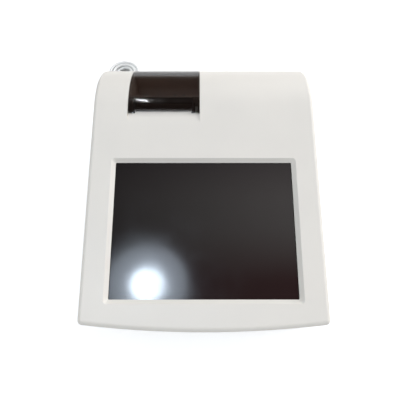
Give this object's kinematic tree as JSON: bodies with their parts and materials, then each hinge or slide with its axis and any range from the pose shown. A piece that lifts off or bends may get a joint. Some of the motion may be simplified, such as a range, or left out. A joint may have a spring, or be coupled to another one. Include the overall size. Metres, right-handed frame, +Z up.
{
  "type": "veterinary immunofluorescence analyzer",
  "caption": "Bench analyzer with a sloping touch screen, a smoked lid over a slip printer and a front cartridge drawer.",
  "frame": {"origin": "on the table, under the middle of the case, the power lead left aside", "axes": "+X to the user's right, +Y to the rear, +Z up; the front with the drawer faces -Y"},
  "size_m": [0.238, 0.3576, 0.1059],
  "materials": {
    "case_white": "fine satin",
    "panel_grey": "matte",
    "lid_smoke": "polished, smoked",
    "screen_glass": "glossy dark",
    "foam_black": "matte",
    "black_plastic": "matte",
    "switch_black": "satin",
    "foot_rubber": "matte",
    "platen_rubber": "ground",
    "steel": "satin",
    "screw_steel": "zinc plated",
    "aluminium": "satin",
    "ceramic": "glazed",
    "bronze": "sintered",
    "gear_plastic": "natural",
    "motor_steel": "satin",
    "tray_white": "satin",
    "lens_glass": "polished",
    "filter_red": "polished",
    "led_clear": "clear",
    "board_green": "solder mask",
    "chip_black": "matte",
    "port_steel": "plated",
    "ribbon_amber": "film",
    "lead_white": "soft",
    "tie_white": "soft",
    "adapter_white": "satin",
    "pin_plate": "nickel"
  },
  "bodies": {
    "case": {"adapter_pins": "pin_plate", "adapter_relief": "lead_white", "base_housing": "case_white", "board_parts": "chip_black", "board_screws": "screw_steel", "case_screws": "screw_steel", "chassis_screws": "screw_steel", "coil_tie": "tie_white", "detector_board": "board_green", "display_bracket": "steel", "display_module": "aluminium", "display_ribbon": "ribbon_amber", "display_screws": "screw_steel", "emission_filter": "filter_red", "excitation_led": "led_clear", "frame_screws": "screw_steel", "head_heat_sink": "aluminium", "head_leaf_spring": "steel", "home_sensor": "black_plastic", "idler_stud": "steel", "lead_coil": "lead_white", "lead_plug": "lead_white", "lead_relief": "lead_white", "lead_run": "lead_white", "lead_tail": "lead_white", "main_board": "board_green", "network_port": "port_steel", "objective_lens": "lens_glass", "optics_block": "black_plastic", "paper_bucket": "black_plastic", "power_adapter": "adapter_white", "power_jack": "black_plastic", "print_head": "ceramic", "printer_frame": "black_plastic", "printer_motor": "motor_steel", "reader_chassis": "steel", "rear_panel": "panel_grey", "rubber_feet": "foot_rubber", "screen_gasket": "foam_black", "speaker": "black_plastic", "switch_body": "switch_black", "top_housing": "case_white", "touch_panel": "screen_glass", "tray_motor": "motor_steel", "usb_ports": "port_steel"},
    "lid": {"printer_lid": "lid_smoke", "lid_hinge_pin": "steel", "platen_holder": "black_plastic", "platen_bushes": "bronze", "tear_bar": "steel"},
    "platen": {"platen_shaft": "steel", "platen_roller": "platen_rubber", "platen_gear": "gear_plastic"},
    "idler": {"idler_gear": "gear_plastic"},
    "feed_drive": {"feed_pinion": "gear_plastic"},
    "drawer": {"cartridge_tray": "tray_white"},
    "drawer_drive": {"tray_pinion": "gear_plastic"},
    "rocker": {"power_rocker": "switch_black"}
  },
  "joints": [
    {"name": "lid_hinge", "type": "hinge", "parent": "case", "child": "lid", "pos_m": [-0.03885, 0.1241, 0.08736], "axis": [-1, 0, 0], "range_deg": [0, 90]},
    {"name": "platen_spin", "type": "hinge", "parent": "lid", "child": "platen", "pos_m": [-0.0396, 0.06806, 0.0921], "axis": [1, 0, 0], "continuous": true},
    {"name": "idler_spin", "type": "hinge", "parent": "case", "child": "idler", "pos_m": [-0.00815, 0.06312, 0.07688], "axis": [1, 0, 0], "continuous": true},
    {"name": "feed_spin", "type": "hinge", "parent": "case", "child": "feed_drive", "pos_m": [-0.00815, 0.05124, 0.06947], "axis": [1, 0, 0], "continuous": true},
    {"name": "drawer_slide", "type": "slide", "parent": "case", "child": "drawer", "axis": [0, -1, 0], "range_m": [0, 0.06]},
    {"name": "drawer_drive_spin", "type": "hinge", "parent": "case", "child": "drawer_drive", "pos_m": [0.02856, -0.08688, 0.014], "axis": [0, 0, 1], "range_deg": [0, 615]},
    {"name": "rocker_tilt", "type": "hinge", "parent": "case", "child": "rocker", "pos_m": [0.074, 0.13249, 0.0305], "axis": [-1, 0, 0], "range_deg": [0, 14]}
  ],
  "couplings": [
    {"joint": "idler_spin", "follows": "platen_spin", "ratio": -0.6},
    {"joint": "feed_spin", "follows": "platen_spin", "ratio": 1.5},
    {"joint": "drawer_drive_spin", "follows": "drawer_slide", "rad_per_m": 178.57}
  ]
}
